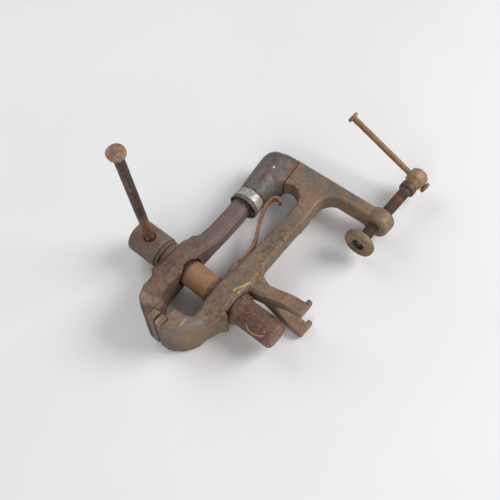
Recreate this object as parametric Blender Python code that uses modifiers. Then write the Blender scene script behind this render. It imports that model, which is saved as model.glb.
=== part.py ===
"""Small forged leg vice that clamps to a bench top, lying on its side.

X runs along the main screw, from its head (-X) to the closed end of the screw box (+X).
Y runs down the legs, from the jaws (-Y) to the bench clamp (+Y).  Z is across the jaws.
Sizes are in millimetres in the tables; MM turns them into metres when a mesh is made.
"""
import math

import bmesh
import bpy
from mathutils import Matrix, Vector

MM = 0.001
GAP = 0.3                      # clearance between pieces that touch

# Driving dimensions, in millimetres
JAW_WIDTH = 62.0               # 2 1/2 inch jaws, which the vice lies on
MID = JAW_WIDTH / 2            # height of the middle plane above the floor
JAW_TIP = -84.6                # Y of the jaw tips
PLATE_DEPTH = 13.0             # how far the steel jaw faces reach down from the tips
PLATE_THICK = 8.6
JAW_OPEN = 3.4                 # gap between the two jaw faces at rest
LEG_HALF = 13.0                # half thickness of both legs across Z
LEG_CHAMFER = 2.4
BOX_RADIUS = 17.4              # screw box and the sleeve between the jaws
SCREW_RADIUS = 11.0
HEAD_RADIUS = 21.3
HEAD_ENDS = (-113.3, -67.8)    # X of the main screw's head
HANDLE_X = -88.8               # X of the handle's hole in the head
HANDLE_LEAN = math.radians(4.4)
HANDLE_REACH = 192.0           # from the screw's axis to the middle of the upper knob
HANDLE_RADIUS = 6.1
KNOB_RADIUS = 11.0
KNOB_THICK = 8.0
PIVOT = Vector((-29.3, 204.8, MID))        # hinge of the moving jaw
PIN_RADIUS = 3.6
KNUCKLE_RADIUS = 9.3
PIN_TOP = 11.0                 # height of the hinge pin's blind end above the middle
TAIL_PIN_TOP = 16.5
SEAM_LEAN = 6.1                # degrees between the legs' direction and the straight seam below the knuckle
TONGUE_RADIUS = 7.2
TONGUE_HALF = 8.0
MOUTH = Vector((-37.9, 115.2, MID))        # middle of the leg socket's mouth
SOCKET_TILT = math.radians(5.35)           # the socket leans away from the fixed leg
TAIL_PIN = Vector((-40.1, 150.0, MID))     # holds the leg's tail in the socket
TAIL_PIN_RADIUS = 3.0
SOCKET_OUTSIDE = [(19.5, 20.6), (21.2, 46), (22.5, 68), (22.6, 78), (21.6, 85), (18.8, 90.5),
                  (14, 94.5), (8, 96.4), (0, 97)]      # radius and distance from the mouth
CLAMP_X = 110.5                # X of the bench clamp's screw
CLAMP_RADIUS = 7.6
CLAMP_BAR_Y = 294.6
CLAMP_BAR_LEAN = math.radians(66.8)
CLAMP_BAR_REACH = 117.0
CLAMP_BAR_DROP = 15.9
CLAMP_BAR_RADIUS = 4.0
PAD_RADIUS = 20.7
PAD_FACE = 161.4               # Y of the pad's clamping face
SPRING_THICK = 4.2
SPRING_WIDTH = 9.0
SPRING_FOOT = Vector((14.6, 50.0, MID))    # the rivet through the spring
CENTRE_X = 8.35                # middle of the whole vice, which goes to the origin
CENTRE_Y = 111.1

ROUND = 40                     # sides of the large turned pieces
SMALL_ROUND = 24


# ---------------------------------------------------------------- helpers

def clear_scene():
    for thing in list(bpy.data.objects):
        bpy.data.objects.remove(thing, do_unlink=True)


def make_collection(name):
    collection = bpy.data.collections.new(name)
    bpy.context.scene.collection.children.link(collection)
    return collection


def make_material(name, colour, roughness, metallic):
    material = bpy.data.materials.new(name)
    material.use_nodes = True
    shader = material.node_tree.nodes["Principled BSDF"]
    shader.inputs["Base Color"].default_value = (*colour, 1.0)
    shader.inputs["Roughness"].default_value = roughness
    shader.inputs["Metallic"].default_value = metallic
    return material


def make_empty(name, place, rotation=(0.0, 0.0, 0.0)):
    """An empty on a joint's axis; place is in millimetres in the vice's own frame."""
    empty = bpy.data.objects.new(name, None)
    empty.empty_display_size = 0.02
    empty.location = Vector(place) * MM
    empty.rotation_euler = rotation
    parts.objects.link(empty)
    return empty


def add_object(name, mesh, material=None, parent=None):
    """Link a mesh as a part, or as a helper solid where it has no material."""
    thing = bpy.data.objects.new(name, mesh)
    if material:
        mesh.materials.clear()
        mesh.materials.append(material)
        parts.objects.link(thing)
    else:
        thing.hide_render = True
        thing.display_type = "WIRE"
        cutters.objects.link(thing)
    if parent:
        thing.parent = parent
    return thing


def hang(thing, empty):
    """Parent a piece modelled in the vice's frame to an empty on its joint's axis."""
    thing.parent = empty
    thing.matrix_parent_inverse = (Matrix.Translation(empty.location)
                                   @ empty.rotation_euler.to_matrix().to_4x4()).inverted()


def shade(thing, degrees=40):
    thing.data.shade_smooth()
    thing.data.set_sharp_from_angle(angle=math.radians(degrees))


def combine(thing, other, operation):
    modifier = thing.modifiers.new(other.name, "BOOLEAN")
    modifier.operation = operation
    modifier.object = other
    modifier.solver = "EXACT"


def bevel(thing, width, segments=2, degrees=35):
    modifier = thing.modifiers.new("rounded edges", "BEVEL")
    modifier.width = width * MM
    modifier.segments = segments
    modifier.limit_method = "ANGLE"
    modifier.angle_limit = math.radians(degrees)


def loft_mesh(name, stations, along):
    """Octagonal sections joined end to end.

    A station is (place, low, high, half, chamfer): its place along the axis, the section's
    two sides across it, its half thickness in Z and its corner chamfer.
    """
    bm = bmesh.new()
    rings = []
    for place, low, high, half, cut in stations:
        corners = [(low + cut, -half), (high - cut, -half), (high, -half + cut), (high, half - cut),
                   (high - cut, half), (low + cut, half), (low, half - cut), (low, -half + cut)]
        points = [(across, place, MID + up) if along == "Y" else (place, across, MID + up)
                  for across, up in corners]
        rings.append([bm.verts.new(Vector(point) * MM) for point in points])
    for ring, following in zip(rings, rings[1:]):
        for i in range(8):
            j = (i + 1) % 8
            bm.faces.new((ring[i], ring[j], following[j], following[i]))
    bm.faces.new(rings[0])
    bm.faces.new(list(reversed(rings[-1])))
    bmesh.ops.recalc_face_normals(bm, faces=bm.faces)
    mesh = bpy.data.meshes.new(name)
    bm.to_mesh(mesh)
    bm.free()
    return mesh


def hull_mesh(name, points):
    """The closed skin stretched over (x, y, height above and below the middle) points."""
    bm = bmesh.new()
    for x, y, half in points:
        for side in (-1, 1):
            bm.verts.new(Vector((x, y, MID + side * half)) * MM)
    made = bmesh.ops.convex_hull(bm, input=bm.verts)
    loose = set(made["geom_interior"] + made["geom_unused"])
    bmesh.ops.delete(bm, geom=[part for part in loose if isinstance(part, bmesh.types.BMVert)], context="VERTS")
    bmesh.ops.recalc_face_normals(bm, faces=bm.faces)
    mesh = bpy.data.meshes.new(name)
    bm.to_mesh(mesh)
    bm.free()
    return mesh


def slab_mesh(name, outline, low, high, plane="XY"):
    """A flat outline pulled from low to high across its plane, as a closed mesh."""
    curve = bpy.data.curves.new(name, "CURVE")
    curve.dimensions = "2D"
    curve.fill_mode = "BOTH"
    curve.extrude = (high - low) / 2 * MM
    spline = curve.splines.new("POLY")
    spline.points.add(len(outline) - 1)
    for point, (a, b) in zip(spline.points, outline):
        point.co = (a * MM, b * MM, 0.0, 1.0)
    spline.use_cyclic_u = True
    holder = bpy.data.objects.new(name, curve)
    cutters.objects.link(holder)
    evaluated = holder.evaluated_get(bpy.context.evaluated_depsgraph_get())
    mesh = bpy.data.meshes.new_from_object(evaluated)
    bpy.data.objects.remove(holder, do_unlink=True)
    turn = Matrix.Identity(4)
    if plane == "XZ":
        turn = Matrix.Rotation(math.radians(90), 4, "X")
        shift = Matrix.Translation((0.0, (low + high) / 2 * MM, 0.0))
    else:
        shift = Matrix.Translation((0.0, 0.0, (low + high) / 2 * MM))
    bm = bmesh.new()
    bm.from_mesh(mesh)
    bmesh.ops.remove_doubles(bm, verts=bm.verts, dist=1e-6)
    bm.transform(shift @ turn)
    bmesh.ops.recalc_face_normals(bm, faces=bm.faces)
    bm.to_mesh(mesh)
    bm.free()
    return mesh


def block_mesh(name, x, y, z):
    bm = bmesh.new()
    bmesh.ops.create_cube(bm, size=1.0)
    size = Matrix.Diagonal(((x[1] - x[0]) * MM, (y[1] - y[0]) * MM, (z[1] - z[0]) * MM, 1.0))
    middle = Vector((x[0] + x[1], y[0] + y[1], z[0] + z[1])) / 2 * MM
    bm.transform(Matrix.Translation(middle) @ size)
    mesh = bpy.data.meshes.new(name)
    bm.to_mesh(mesh)
    bm.free()
    return mesh


def rod_mesh(name, start, end, radius, sides=SMALL_ROUND):
    """A plain cylinder between two points in the vice's frame."""
    start, end = Vector(start), Vector(end)
    bm = bmesh.new()
    bmesh.ops.create_cone(bm, cap_ends=True, segments=sides, radius1=radius * MM, radius2=radius * MM,
                          depth=(end - start).length * MM)
    turn = (end - start).to_track_quat("Z", "Y").to_matrix().to_4x4()
    bm.transform(Matrix.Translation((start + end) / 2 * MM) @ turn)
    mesh = bpy.data.meshes.new(name)
    bm.to_mesh(mesh)
    bm.free()
    return mesh


def turned(name, profile, material=None, parent=None, hollow=False, sides=ROUND):
    """A turned piece: (radius, distance along the local Z axis) points and a Screw modifier."""
    points = list(profile)
    twice_area = sum(a[0] * b[1] - b[0] * a[1] for a, b in zip(points, points[1:] + points[:1]))
    if twice_area > 0:
        points.reverse()
    bm = bmesh.new()
    verts = [bm.verts.new((radius * MM, 0.0, along * MM)) for radius, along in points]
    for start, end in zip(verts, verts[1:]):
        bm.edges.new((start, end))
    if hollow:
        bm.edges.new((verts[-1], verts[0]))
    mesh = bpy.data.meshes.new(name)
    bm.to_mesh(mesh)
    bm.free()
    thing = add_object(name, mesh, material, parent)
    spin = thing.modifiers.new("turned", "SCREW")
    spin.steps = sides
    spin.render_steps = sides
    spin.use_merge_vertices = True
    spin.merge_threshold = 0.00001
    spin.use_smooth_shade = True
    return thing


def arc(centre, radius, start, end, steps):
    angles = [math.radians(start + (end - start) * i / steps) for i in range(steps + 1)]
    return [(centre[0] + radius * math.cos(a), centre[1] + radius * math.sin(a)) for a in angles]


# ---------------------------------------------------------------- fixed side

def fixed_frame():
    """One forging: fixed jaw, eye for the screw box, leg, cross-beam, clamp arm and fork."""
    behind_plate = JAW_OPEN / 2 + PLATE_THICK + GAP
    ledge = JAW_TIP + PLATE_DEPTH + GAP
    frame = add_object("fixed_frame", loft_mesh("fixed_frame", [
        (JAW_TIP, behind_plate, 14, 30, 1.5), (-83.6, behind_plate, 17, 30.7, 2),
        (-81.8, behind_plate, 20.5, MID, 2), (-79, behind_plate, 24.8, MID, 2.5),
        (-75.5, behind_plate, 29.2, MID, 2.5), (ledge - 0.1, behind_plate, 33, MID, 2.5),
        (ledge + 0.1, 4.3, 33.2, MID, 2.5), (-66, 5.2, 36.6, MID, 2.5), (-60, 6.3, 39.5, MID, 2.5),
        (-57.6, 7.2, 40.4, MID, 2.5),
        (-57.0, 14, 40.8, 30.8, 3), (-55.8, 20.5, 41.4, 30.3, 3), (-53.5, 25, 42.4, 29, 4),
        (-49, 27.3, 44, 26.5, 5), (-40, 25.8, 47.8, 24, 5), (-32, 23.8, 51.5, 23, 5),
        (-26.5, 22.8, 56.6, 22.8, 4), (-22, 22.3, 57, 22.8, 4), (-21.2, 22.2, 51, 22.8, 4),
        (0, 20, 51, 22.8, 4), (14, 19.5, 51, 22.4, 4), (24, 19.2, 51, 20, 4),
        (34, 19, 49.6, 16, 4), (46, 18.8, 47.5, 13.5, 3), (62, 18.7, 43.4, LEG_HALF, LEG_CHAMFER),
        (106, 18.5, 41.5, LEG_HALF, LEG_CHAMFER), (133.6, 18.2, 40.5, LEG_HALF, LEG_CHAMFER),
        (135.6, 18.2, 41.8, LEG_HALF, LEG_CHAMFER), (157, 16.8, 40.3, LEG_HALF, LEG_CHAMFER),
        (159.8, 16.2, 39.0, LEG_HALF, LEG_CHAMFER), (166, 14, 38.5, LEG_HALF, LEG_CHAMFER),
        (171, 10.2, 38.3, LEG_HALF, LEG_CHAMFER), (174.6, 4.6, 38.3, LEG_HALF, LEG_CHAMFER),
        (177, -3, 38.4, LEG_HALF, LEG_CHAMFER), (184, -8, 39.8, LEG_HALF, LEG_CHAMFER),
        (190, -8, 43.5, LEG_HALF, LEG_CHAMFER), (200, -8, 52, LEG_HALF, LEG_CHAMFER)], "Y"),
        material=forged)
    half = LEG_HALF - 0.2
    beam = add_object("beam_and_arm", loft_mesh("beam_and_arm", [
        (-30, 171, 213.4, half, 2), (-26, 171, 215.2, half, 2.5), (-16.5, 172, 216, half, 2.5),
        (-8, 176.5, 215.6, half, 2.5), (4, 177, 215.8, half, 2.5), (20, 178, 216.1, half, 2.5),
        (40, 190, 216.3, half, 2.5), (54, 197.5, 216.6, half, 2.5), (100, 198.5, 217.2, half, 2.5),
        (112, 199, 217.4, half, 2.5)], "X"))
    combine(frame, beam, "UNION")
    boss_axis = make_empty("arm_boss_axis", (CLAMP_X + 0.7, 0, MID), (math.radians(-90), 0, 0))
    boss = turned("arm_boss", [(0, 218.4), (15.5, 218.4), (17.6, 216), (17.8, 207), (17.3, 199),
                               (15.2, 195.6), (0, 195.6)], parent=boss_axis)
    combine(frame, boss, "UNION")
    fork(frame)
    shoulder_and_tongue(frame)
    lug = add_object("spring_lug", loft_mesh("spring_lug", [
        (22, 19, 24, 3, 1), (26, 14.0, 24, 8, 2), (31, 11.8, 24, 10, 2), (41, 11.6, 24, 10, 2),
        (44.4, 12.4, 24, 9, 2), (45, 17.3, 24, 9, 2), (53, 17.3, 24, 8, 2), (56.5, 19.5, 24, 6, 2)], "Y"))
    combine(frame, lug, "UNION")
    eye_bore = add_object("eye_bore", rod_mesh("eye_bore", (10, 0, MID), (70, 0, MID),
                                               BOX_RADIUS + GAP, ROUND))
    combine(frame, eye_bore, "DIFFERENCE")
    clamp_bore = add_object("clamp_bore", rod_mesh("clamp_bore", (CLAMP_X, 180, MID),
                                                   (CLAMP_X, 230, MID), CLAMP_RADIUS + 0.4))
    combine(frame, clamp_bore, "DIFFERENCE")
    pin_bore = add_object("pin_bore", rod_mesh("pin_bore", PIVOT - Vector((0, 0, 30)),
                                               PIVOT + Vector((0, 0, 30)), PIN_RADIUS + GAP))
    combine(frame, pin_bore, "DIFFERENCE")
    rivet_hole = add_object("rivet_hole", rod_mesh("rivet_hole", SPRING_FOOT - Vector((5, 0, 0)),
                                                   SPRING_FOOT + Vector((11, 0, 0)), 2.3))
    combine(frame, rivet_hole, "DIFFERENCE")
    shade(frame)


def fork(frame):
    """The horn behind the fixed jaw: it splits in two prongs whose claws bite the bench top."""
    root = add_object("fork_root", loft_mesh("fork_root", [
        (42, 22, 62, LEG_HALF - 0.4, 3), (44.5, 22, 57.5, LEG_HALF - 0.4, 3),
        (48, 22.3, 53, LEG_HALF - 0.4, 3.5), (53, 23, 49, LEG_HALF - 0.4, 4),
        (60, 24.4, 45.6, LEG_HALF - 0.6, 4), (68, 26, 43.6, LEG_HALF - 1, 4),
        (78, 27, 43.8, LEG_HALF - 1, 4)], "X"))
    combine(frame, root, "UNION")
    shared = [(68, 10), (77, 13.2), (85, 17.4), (93, 21.9), (104, 25.8), (117, 28.4)]
    inner = [(117, 18), (107, 15.6), (98, 10.8), (90, 4.5)]
    upper = shared + [(124, 28.8), (125, 20)] + inner
    lower = shared + [(127, 28.8), (127.8, 20)] + inner
    outline = [(x, MID + z) for x, z in upper] + [(86, MID)] + [(x, MID - z) for x, z in reversed(lower)]
    prongs = add_object("prongs", slab_mesh("prongs", list(reversed(outline)), 27.0, 44.5, "XZ"))
    bevel(prongs, 3.2, 3)
    combine(frame, prongs, "UNION")
    for name, tip, height in (("upper_claw", 124.6, MID + 24.4), ("lower_claw", 127.4, MID - 24.4)):
        claw = add_object(name, block_mesh(name, (tip - 7, tip), (36, 50.5), (height - 4.2, height + 4.2)))
        bevel(claw, 2.1, 3)
        combine(frame, claw, "UNION")


def seam(radius, foot_y):
    """The seam between socket and frame: straight from foot_y, then round the knuckle to its back."""
    turn = arc(PIVOT, radius, SEAM_LEAN, 90, 10)
    x, y = turn[0]
    return [(x + (y - foot_y) * math.tan(math.radians(SEAM_LEAN)), foot_y)] + turn


def shoulder_and_tongue(frame):
    """The frame's corner stops at the seam with the socket, and its tongue holds the hinge pin."""
    edge = seam(KNUCKLE_RADIUS + 0.5, 160)
    shoulder = add_object("shoulder_cut", slab_mesh("shoulder_cut", edge + [(-80, edge[-1][1]), (-80, 160)],
                                                    -10, 80))
    combine(frame, shoulder, "DIFFERENCE")
    nose = arc(PIVOT, TONGUE_RADIUS, 90, 270, 14)
    tongue_outline = nose + [(-12, PIVOT.y - TONGUE_RADIUS), (-12, PIVOT.y + TONGUE_RADIUS)]
    tongue = add_object("tongue", slab_mesh("tongue", tongue_outline, MID - TONGUE_HALF, MID + TONGUE_HALF))
    combine(frame, tongue, "UNION")


def screw_box():
    """The closed tube that holds the nut thread; its sleeve reaches through the eye."""
    box = turned("screw_box", [
        (14.3, -34), (15.6, -34), (BOX_RADIUS - 0.3, -32.5), (BOX_RADIUS - 0.2, 51.4), (18.8, 51.4),
        (20.4, 52.6), (20.4, 59.2), (18.8, 60.8), (17.6, 61.6), (BOX_RADIUS, 66), (BOX_RADIUS, 109.5),
        (16.2, 111.7), (14.3, 112)], box_red, main_axis, hollow=True)
    shade(box)
    crest = SCREW_RADIUS + 0.4
    thread = turned("nut_thread", [(crest, 50), (14.0, 50), (14.0, 104), (crest, 104)],
                    bright_thread, main_axis, hollow=True, sides=SMALL_ROUND)
    shade(thread)
    cap = turned("box_end_cap", [(0, 104.6), (14.0, 104.6), (14.0, 111), (12.5, 112.2), (0, 112.6)],
                 box_red, main_axis, sides=SMALL_ROUND)
    shade(cap)


def jaw_plate(name, side, parent=None):
    """A hardened steel facing let into the jaw tip; side is +1 on the fixed jaw."""
    near = side * JAW_OPEN / 2
    far = side * (JAW_OPEN / 2 + PLATE_THICK)
    plate = add_object(name, block_mesh(name, sorted((near, far)), (JAW_TIP + 0.2, JAW_TIP + PLATE_DEPTH),
                                        (0.4, JAW_WIDTH - 0.4)), plate_steel)
    bevel(plate, 0.5, 2)
    if parent:
        hang(plate, parent)
    return plate


def strip_outline(points, thickness):
    """Both sides of a strip that follows a line of points."""
    left, right = [], []
    for i, point in enumerate(points):
        before, after = points[max(i - 1, 0)], points[min(i + 1, len(points) - 1)]
        run = (Vector(after) - Vector(before)).normalized()
        across = Vector((-run.y, run.x)) * thickness / 2
        left.append(tuple(Vector(point) + across))
        right.append(tuple(Vector(point) - across))
    return left + list(reversed(right))


def leaf_spring():
    """Riveted to the fixed leg; its rolled end bears on the socket and opens the jaw."""
    roll_centre, roll_radius = (-10.2, 147.0), 7.0
    line = [(14.6, 46.8), (14.6, 54), (14.3, 62), (13.2, 70), (11.0, 78), (7.7, 86), (3.4, 94),
            (-1.5, 102.5), (-6.0, 111), (-10.4, 120), (-14.2, 129.5), (-17.0, 138.5)]
    line += arc(roll_centre, roll_radius, 190, 25, 10)
    spring = add_object("leaf_spring", slab_mesh("leaf_spring", strip_outline(line, SPRING_THICK),
                                                 MID - SPRING_WIDTH / 2, MID + SPRING_WIDTH / 2),
                        spring_rust)
    hang(spring, spring_axis)
    hole = add_object("spring_hole", rod_mesh("spring_hole", SPRING_FOOT - Vector((6, 0, 0)),
                                              SPRING_FOOT + Vector((6, 0, 0)), 2.5))
    combine(spring, hole, "DIFFERENCE")
    shade(spring)
    face = SPRING_FOOT.x - SPRING_THICK / 2 - 0.5
    rivet = turned("spring_rivet", [(0, face - 2.2), (2.4, face - 1.9), (3.8, face), (2.0, face),
                                    (2.0, SPRING_FOOT.x + 9), (0, SPRING_FOOT.x + 9)],
                   spring_rust, make_empty("rivet_axis", (0, SPRING_FOOT.y, MID), (0, math.radians(90), 0)),
                   sides=SMALL_ROUND)
    shade(rivet)


def hinge_pin():
    """Driven in from below; its hole stops short of the knuckle's upper face."""
    pin = add_object("hinge_pin", rod_mesh("hinge_pin", PIVOT - Vector((0, 0, 16)),
                                           PIVOT + Vector((0, 0, PIN_TOP)), PIN_RADIUS), socket_grey)
    shade(pin)


# ---------------------------------------------------------------- moving side

def moving_jaw():
    """Moving jaw, slotted eye and leg; the leg's tail is pinned in the socket."""
    behind_plate = -(JAW_OPEN / 2 + PLATE_THICK + GAP)
    ledge = JAW_TIP + PLATE_DEPTH + GAP
    jaw = add_object("moving_jaw", loft_mesh("moving_jaw", [
        (JAW_TIP, -15, behind_plate, 30, 1.5), (-83.4, -18, behind_plate, 30.7, 2),
        (-81, -23.2, behind_plate, MID, 2.5), (-77, -29.6, behind_plate, MID, 3),
        (-73, -34.6, behind_plate, MID, 3),
        (ledge - 0.1, -36.4, behind_plate, MID, 3), (ledge + 0.1, -36.5, -4.4, MID, 2.5),
        (-60, -42, -7.0, MID, 3.5), (-57.4, -43.3, -9.5, MID, 4), (-55, -44.5, -16.5, 30, 5),
        (-48, -47, -21.5, 27.5, 8), (-38, -50, -23.5, 25.6, 9), (-34, -54.8, -23.8, 25.2, 6),
        (-30.5, -55.5, -24, 25, 7), (-12, -57, -24.5, 25, 9), (8, -57, -25, 25, 9),
        (14.5, -55.5, -25, 24, 8.5), (19.5, -56, -25, 22.6, 7.5), (23.5, -55.5, -25, 21, 7),
        (29, -53.6, -24.6, 18.8, 6), (36.5, -53.8, -24.1, 16.4, 5.5), (38.5, -51, -24, 15.6, 5.5),
        (45, -48.8, -23.6, 13.8, 5.5), (62, -48.2, -23.4, LEG_HALF, 5.5), (100, -50, -25.4, LEG_HALF, 5.5),
        (118.0, -52.5, -28, 12.8, 5.5), (122.0, -50.6, -28.6, 11, 5), (158, -53, -31, 11, 5)], "Y"),
        material=dark_forged)
    seat = turned("seat", [(0, -62.1), (8, -62.1), (17.5, -61.5), (20, -60), (20.6, -55), (0, -55)],
                  parent=main_axis)
    combine(jaw, seat, "UNION")
    bore = add_object("jaw_bore", rod_mesh("jaw_bore", (-53, 0, MID), (-10, 0, MID), 19.3, ROUND))
    combine(jaw, bore, "DIFFERENCE")
    slot = arc((0, MID), 12.3, -90, 90, 10) + arc((-9, MID), 12.3, 90, 270, 10)
    slot_cutter = add_object("seat_slot", slab_mesh("seat_slot", slot, 0, 20))
    slot_cutter.data.transform(Matrix(((0, 0, 1, -0.068), (1, 0, 0, 0), (0, 1, 0, 0), (0, 0, 0, 1))))
    combine(jaw, slot_cutter, "DIFFERENCE")
    tail_hole = add_object("tail_hole", rod_mesh("tail_hole", TAIL_PIN - Vector((0, 0, 30)),
                                                 TAIL_PIN + Vector((0, 0, 30)), TAIL_PIN_RADIUS + GAP))
    combine(jaw, tail_hole, "DIFFERENCE")
    hang(jaw, jaw_axis)
    shade(jaw)


def socket():
    """The tapered socket that carries the moving leg and turns on the hinge pin."""
    body = turned("leg_socket", [(0, 48), (15.2, 48), (15.2, 12), (16.3, 12), (16.3, 19.3), (18.9, 19.5)]
                  + SOCKET_OUTSIDE, socket_grey, socket_axis)
    cheek = add_object("cheek", hull_mesh("cheek", [
        (-32, 157, 13), (-20.8, 157, 4), (-15.6, 168.6, 13.4), (-34, 170, 20.0), (-35, 195, 19.9),
        (-19.4, 206, 13.4), (-21.2, 210.5, 13.2), (-26.5, 213.8, 12.4), (-39.5, 213.6, 12.2),
        (-47, 211.4, 11.6), (-47, 207, 16.4), (-35, 208, 17.2)]))
    hang(cheek, jaw_axis)
    tail_room = turned("tail_room", [(0, 10), (15.5, 10), (15.5, 48.3), (0, 48.3)], parent=socket_axis)
    combine(cheek, tail_room, "DIFFERENCE")
    combine(body, cheek, "UNION")
    edge = seam(KNUCKLE_RADIUS, 169)
    plan = [(-90, 100), (0, 100), (0, 160)] + edge + [(-90, edge[-1][1])]
    keep = add_object("socket_plan", slab_mesh("socket_plan", plan, -5, 70))
    hang(keep, jaw_axis)
    combine(body, keep, "INTERSECT")
    room = TONGUE_RADIUS + 1.0
    slot_plan = ([(5, PIVOT.y - room), (5, PIVOT.y + 40), (PIVOT.x, PIVOT.y + 40)]
                 + arc(PIVOT, room, 90, 270, 14))
    slot = add_object("tongue_slot", slab_mesh("tongue_slot", slot_plan, MID - TONGUE_HALF - 0.5,
                                               MID + TONGUE_HALF + 0.5))
    hang(slot, jaw_axis)
    combine(body, slot, "DIFFERENCE")
    pin_hole = add_object("knuckle_bore", rod_mesh("knuckle_bore", PIVOT - Vector((0, 0, 30)),
                                                   PIVOT + Vector((0, 0, PIN_TOP + GAP)),
                                                   PIN_RADIUS + GAP))
    hang(pin_hole, jaw_axis)
    combine(body, pin_hole, "DIFFERENCE")
    cross_hole = add_object("cross_hole", rod_mesh("cross_hole", TAIL_PIN - Vector((0, 0, 30)),
                                                   TAIL_PIN + Vector((0, 0, TAIL_PIN_TOP + GAP)),
                                                   TAIL_PIN_RADIUS + GAP))
    hang(cross_hole, jaw_axis)
    combine(body, cross_hole, "DIFFERENCE")
    shade(body)
    collar = turned("socket_collar", [(16.7, 5.2), (20.0, 5.2), (20.3, 6.4), (19.7, 18.2), (19.2, 19.2),
                                      (16.7, 19.2)], zinc, socket_axis, hollow=True)
    shade(collar)
    bush = turned("socket_bush", [
        (18.5, 0), (20.1, 0), (20.3, 1.2), (19.5, 4.9), (16.4, 4.9), (16.4, 11.7), (15.3, 11.7), (15.3, 9),
        (17.6, 4.4)], dark_forged, socket_axis, hollow=True)
    shade(bush)
    pin = add_object("tail_pin", rod_mesh("tail_pin", TAIL_PIN - Vector((0, 0, 30)),
                                          TAIL_PIN + Vector((0, 0, TAIL_PIN_TOP)), TAIL_PIN_RADIUS),
                     socket_grey)
    hang(pin, jaw_axis)
    combine(pin, socket_envelope, "INTERSECT")
    shade(pin)


# ---------------------------------------------------------------- screws and handles

def main_screw():
    low, high = HEAD_ENDS
    screw = turned("main_screw", [(0, low - 1.2), (15, low - 0.6), (HEAD_RADIUS - 1.5, low + 0.6),
                                  (HEAD_RADIUS, low + 2.4), (HEAD_RADIUS, high - 1.6),
                                  (HEAD_RADIUS - 1.2, high), (SCREW_RADIUS, high), (SCREW_RADIUS, 96),
                                  (SCREW_RADIUS - 2, 98), (0, 98)], head_iron, main_axis)
    hole = add_object("handle_hole", rod_mesh("handle_hole", along_handle(-40), along_handle(40),
                                              HANDLE_RADIUS + 0.6))
    combine(screw, hole, "DIFFERENCE")
    shade(screw)
    washer = turned("thrust_washer", [(SCREW_RADIUS + 0.4, -67.5), (18.6, -67.5), (19.8, -66.4),
                                      (19.8, -63.7), (19.0, -62.5), (SCREW_RADIUS + 0.4, -62.5)],
                    dark_forged, main_axis, hollow=True)
    shade(washer)


def along_handle(distance):
    """A point on the handle's axis, measured from the screw's axis."""
    return Vector((HANDLE_X, -math.sin(HANDLE_LEAN) * distance, MID + math.cos(HANDLE_LEAN) * distance))


def handle():
    inner_top = HANDLE_REACH - KNOB_THICK / 2
    inner_bottom = -(HEAD_RADIUS + 1.0)
    spigot = 4.0
    top = inner_top + KNOB_THICK
    bottom = inner_bottom - KNOB_THICK
    bar = turned("handle_bar", [
        (0, top + 0.6), (spigot - 0.6, top + 0.4), (spigot, top - 0.3), (spigot, inner_top),
        (HANDLE_RADIUS, inner_top - GAP), (HANDLE_RADIUS, inner_bottom + GAP), (spigot, inner_bottom),
        (spigot, bottom + 0.4), (0, bottom + 0.2)], handle_iron, handle_axis, sides=SMALL_ROUND)
    shade(bar)
    for name, inner, way in (("handle_knob_upper", inner_top, 1), ("handle_knob_lower", inner_bottom, -1)):
        outer = inner + KNOB_THICK * way
        knob = turned(name, [
            (spigot + GAP, inner), (8.6, inner), (KNOB_RADIUS, inner + 1.8 * way),
            (KNOB_RADIUS, outer - 1.8 * way), (KNOB_RADIUS - 2.0, outer), (spigot + GAP, outer)],
            knob_iron, handle_axis, hollow=True, sides=32)
        shade(knob)


def bench_clamp():
    """The clamp's screw with its head, the pad that turns on its tip, and its sliding bar."""
    screw = turned("clamp_screw", [
        (0, 306.8), (6.8, 306.4), (11.0, 304.8), (12.8, 301.8), (12.9, 293), (12.3, 288.2),
        (10.4, 286.4), (10.0, 284.6), (10.6, 279.2), (11.1, 278.2), (11.2, 271.2), (10.4, 270.0),
        (CLAMP_RADIUS + 0.4, 269.2), (CLAMP_RADIUS, 268), (CLAMP_RADIUS, 173.4), (6.6, 172.0),
        (4.4, 171.8), (4.4, 165.2), (3.6, 164.2), (0, 164)], clamp_iron, clamp_axis)
    hole = add_object("clamp_bar_hole", rod_mesh("clamp_bar_hole", along_clamp_bar(-30),
                                                 along_clamp_bar(30), CLAMP_BAR_RADIUS + 0.4))
    combine(screw, hole, "DIFFERENCE")
    shade(screw)
    pad = turned("clamp_pad", [
        (4.8, 171.4), (13, 171.4), (PAD_RADIUS - 2.2, 170.6), (PAD_RADIUS, 168.4), (PAD_RADIUS, 164.0),
        (PAD_RADIUS - 1.4, PAD_FACE), (5.6, PAD_FACE), (4.8, 164)], pad_iron, clamp_axis, hollow=True)
    shade(pad)
    head_thick = 5.0
    spigot = 2.4
    inner_top = CLAMP_BAR_REACH - head_thick / 2
    inner_bottom = -(CLAMP_BAR_DROP - head_thick / 2)
    top = inner_top + head_thick
    bottom = inner_bottom - head_thick
    bar = turned("clamp_bar", [
        (0, top), (spigot, top), (spigot, inner_top), (CLAMP_BAR_RADIUS, inner_top - GAP),
        (CLAMP_BAR_RADIUS, inner_bottom + GAP), (spigot, inner_bottom), (spigot, bottom), (0, bottom)],
        bar_ochre, clamp_bar_axis, sides=SMALL_ROUND)
    shade(bar)
    radius = 7.6
    for name, inner, way in (("clamp_bar_head_upper", inner_top, 1),
                             ("clamp_bar_head_lower", inner_bottom, -1)):
        outer = inner + head_thick * way
        head = turned(name, [(spigot + GAP, inner), (radius, inner), (radius, outer - 0.8 * way),
                             (radius - 0.8, outer), (spigot + GAP, outer)],
                      bar_ochre, clamp_bar_axis, hollow=True, sides=SMALL_ROUND)
        shade(head)


def along_clamp_bar(distance):
    """A point on the clamp bar's axis, measured from the clamp screw's axis."""
    return Vector((CLAMP_X - math.sin(CLAMP_BAR_LEAN) * distance, CLAMP_BAR_Y,
                   MID + math.cos(CLAMP_BAR_LEAN) * distance))


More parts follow.
